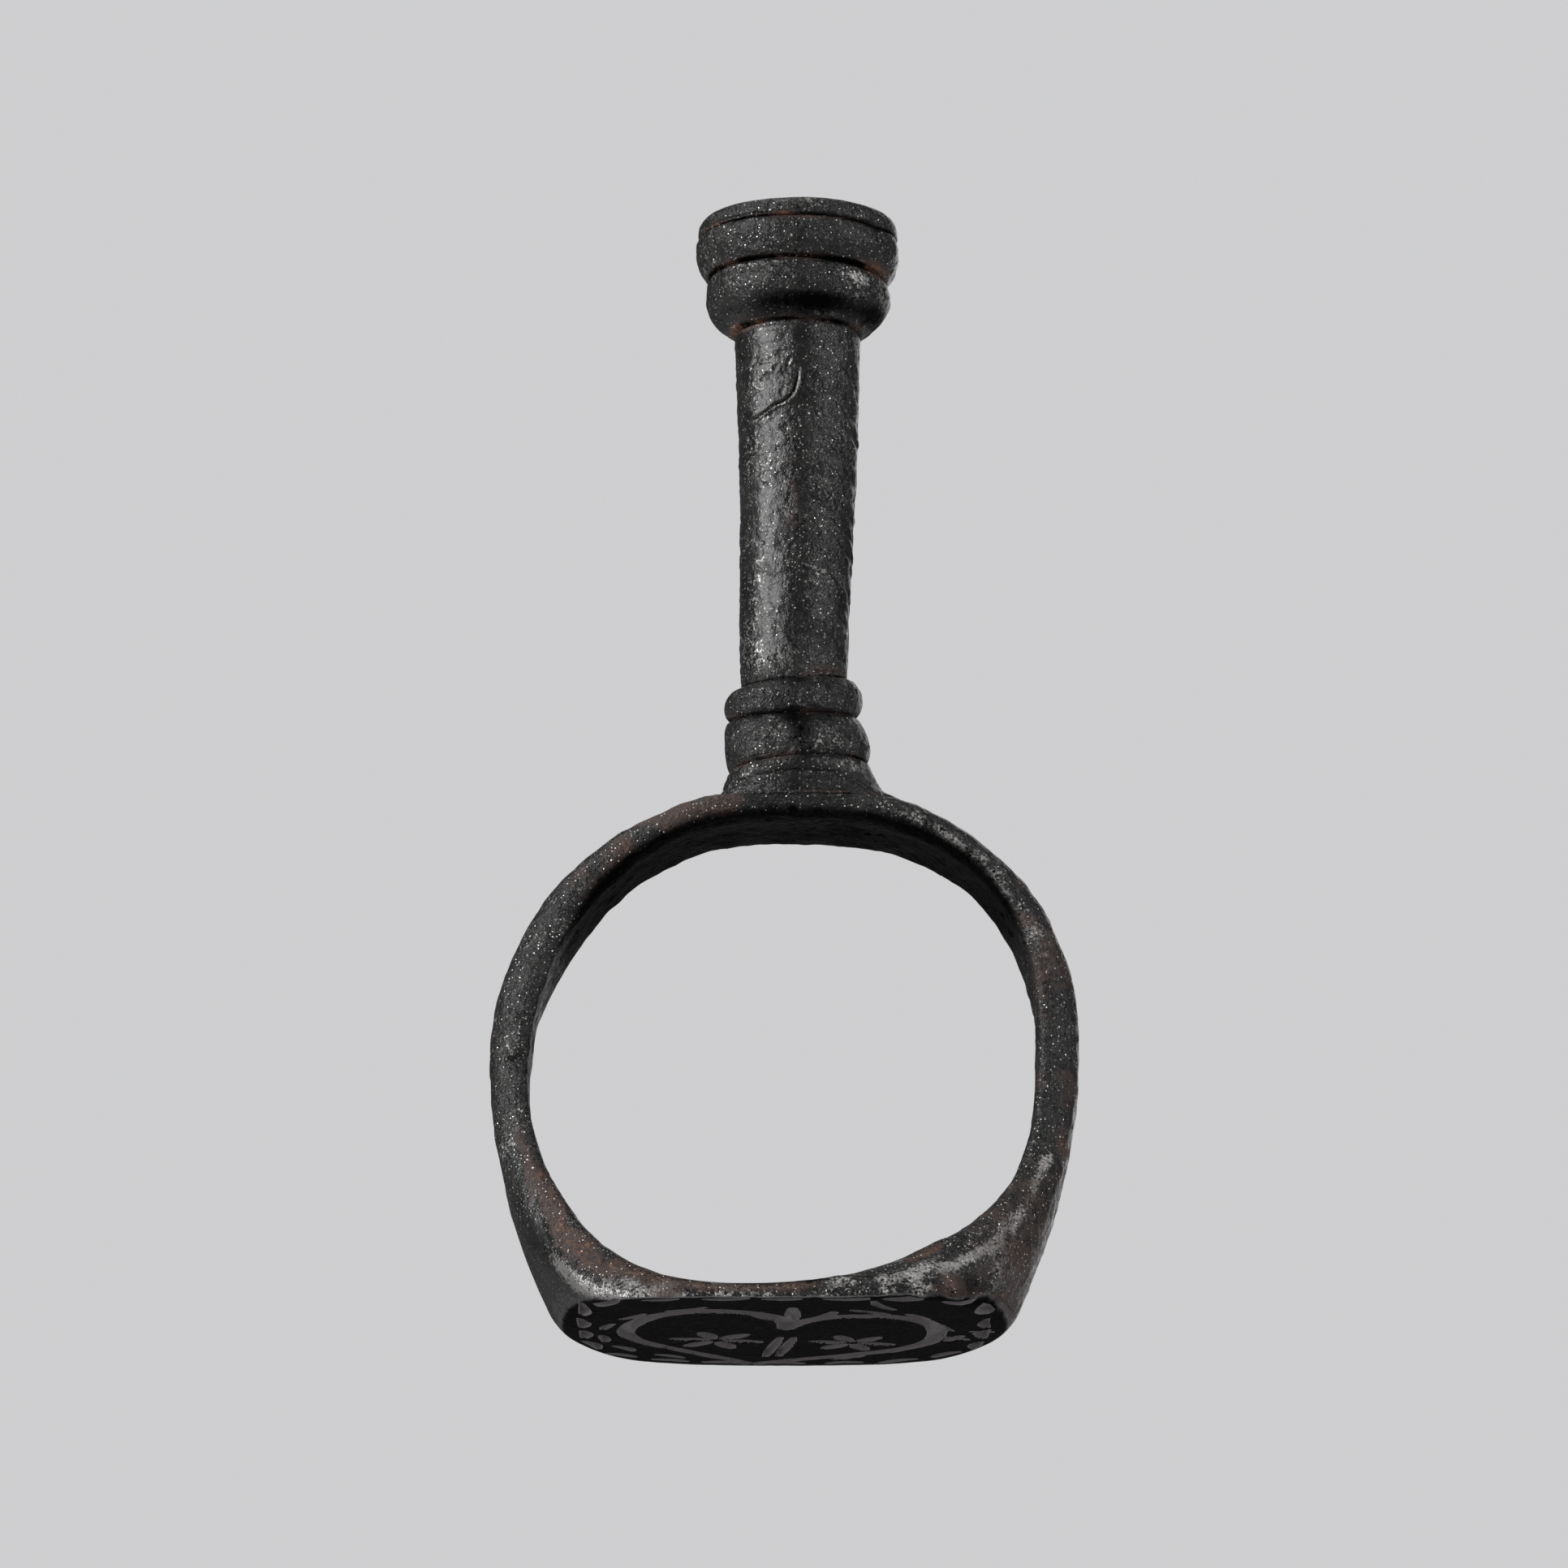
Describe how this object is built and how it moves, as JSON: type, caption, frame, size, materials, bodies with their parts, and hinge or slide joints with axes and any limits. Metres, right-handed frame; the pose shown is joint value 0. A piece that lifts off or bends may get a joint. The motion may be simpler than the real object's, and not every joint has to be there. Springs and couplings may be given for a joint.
{
  "type": "seal matrix",
  "caption": "Ring-handled seal matrix: engraved plate under an iron finger hoop, with a tapered stem, two collars and a double-rolled knob whose flat end can tamp",
  "frame": {"origin": "on the plane of the seal face, under the middle of the hoop", "axes": "+Z runs from the seal face along the stem, X runs across the hoop, Y runs through the hoop the way a finger goes in"},
  "size_m": [0.024, 0.0164, 0.0469],
  "materials": {
    "forged_iron": "hammered and worn smooth, black iron patina with reddish brown rust in the hollows",
    "engraved_iron": "flat, near-black patina, with paler deposit in the engraved lines",
    "stem_iron": "filed round, pitted black iron patina with orange rust in the creases",
    "braze_metal": "dull golden-brown braze film, darkened with age"
  },
  "bodies": {
    "root": {"seal_plate": "engraved_iron", "plate_braze": "braze_metal", "finger_hoop": "forged_iron", "foot_braze": "braze_metal", "foot_saddle": "forged_iron", "lower_collar": "stem_iron", "upper_collar": "stem_iron", "stem_shaft": "stem_iron", "lower_knob_roll": "stem_iron", "upper_knob_roll": "stem_iron", "end_disc": "stem_iron"}
  },
  "joints": []
}
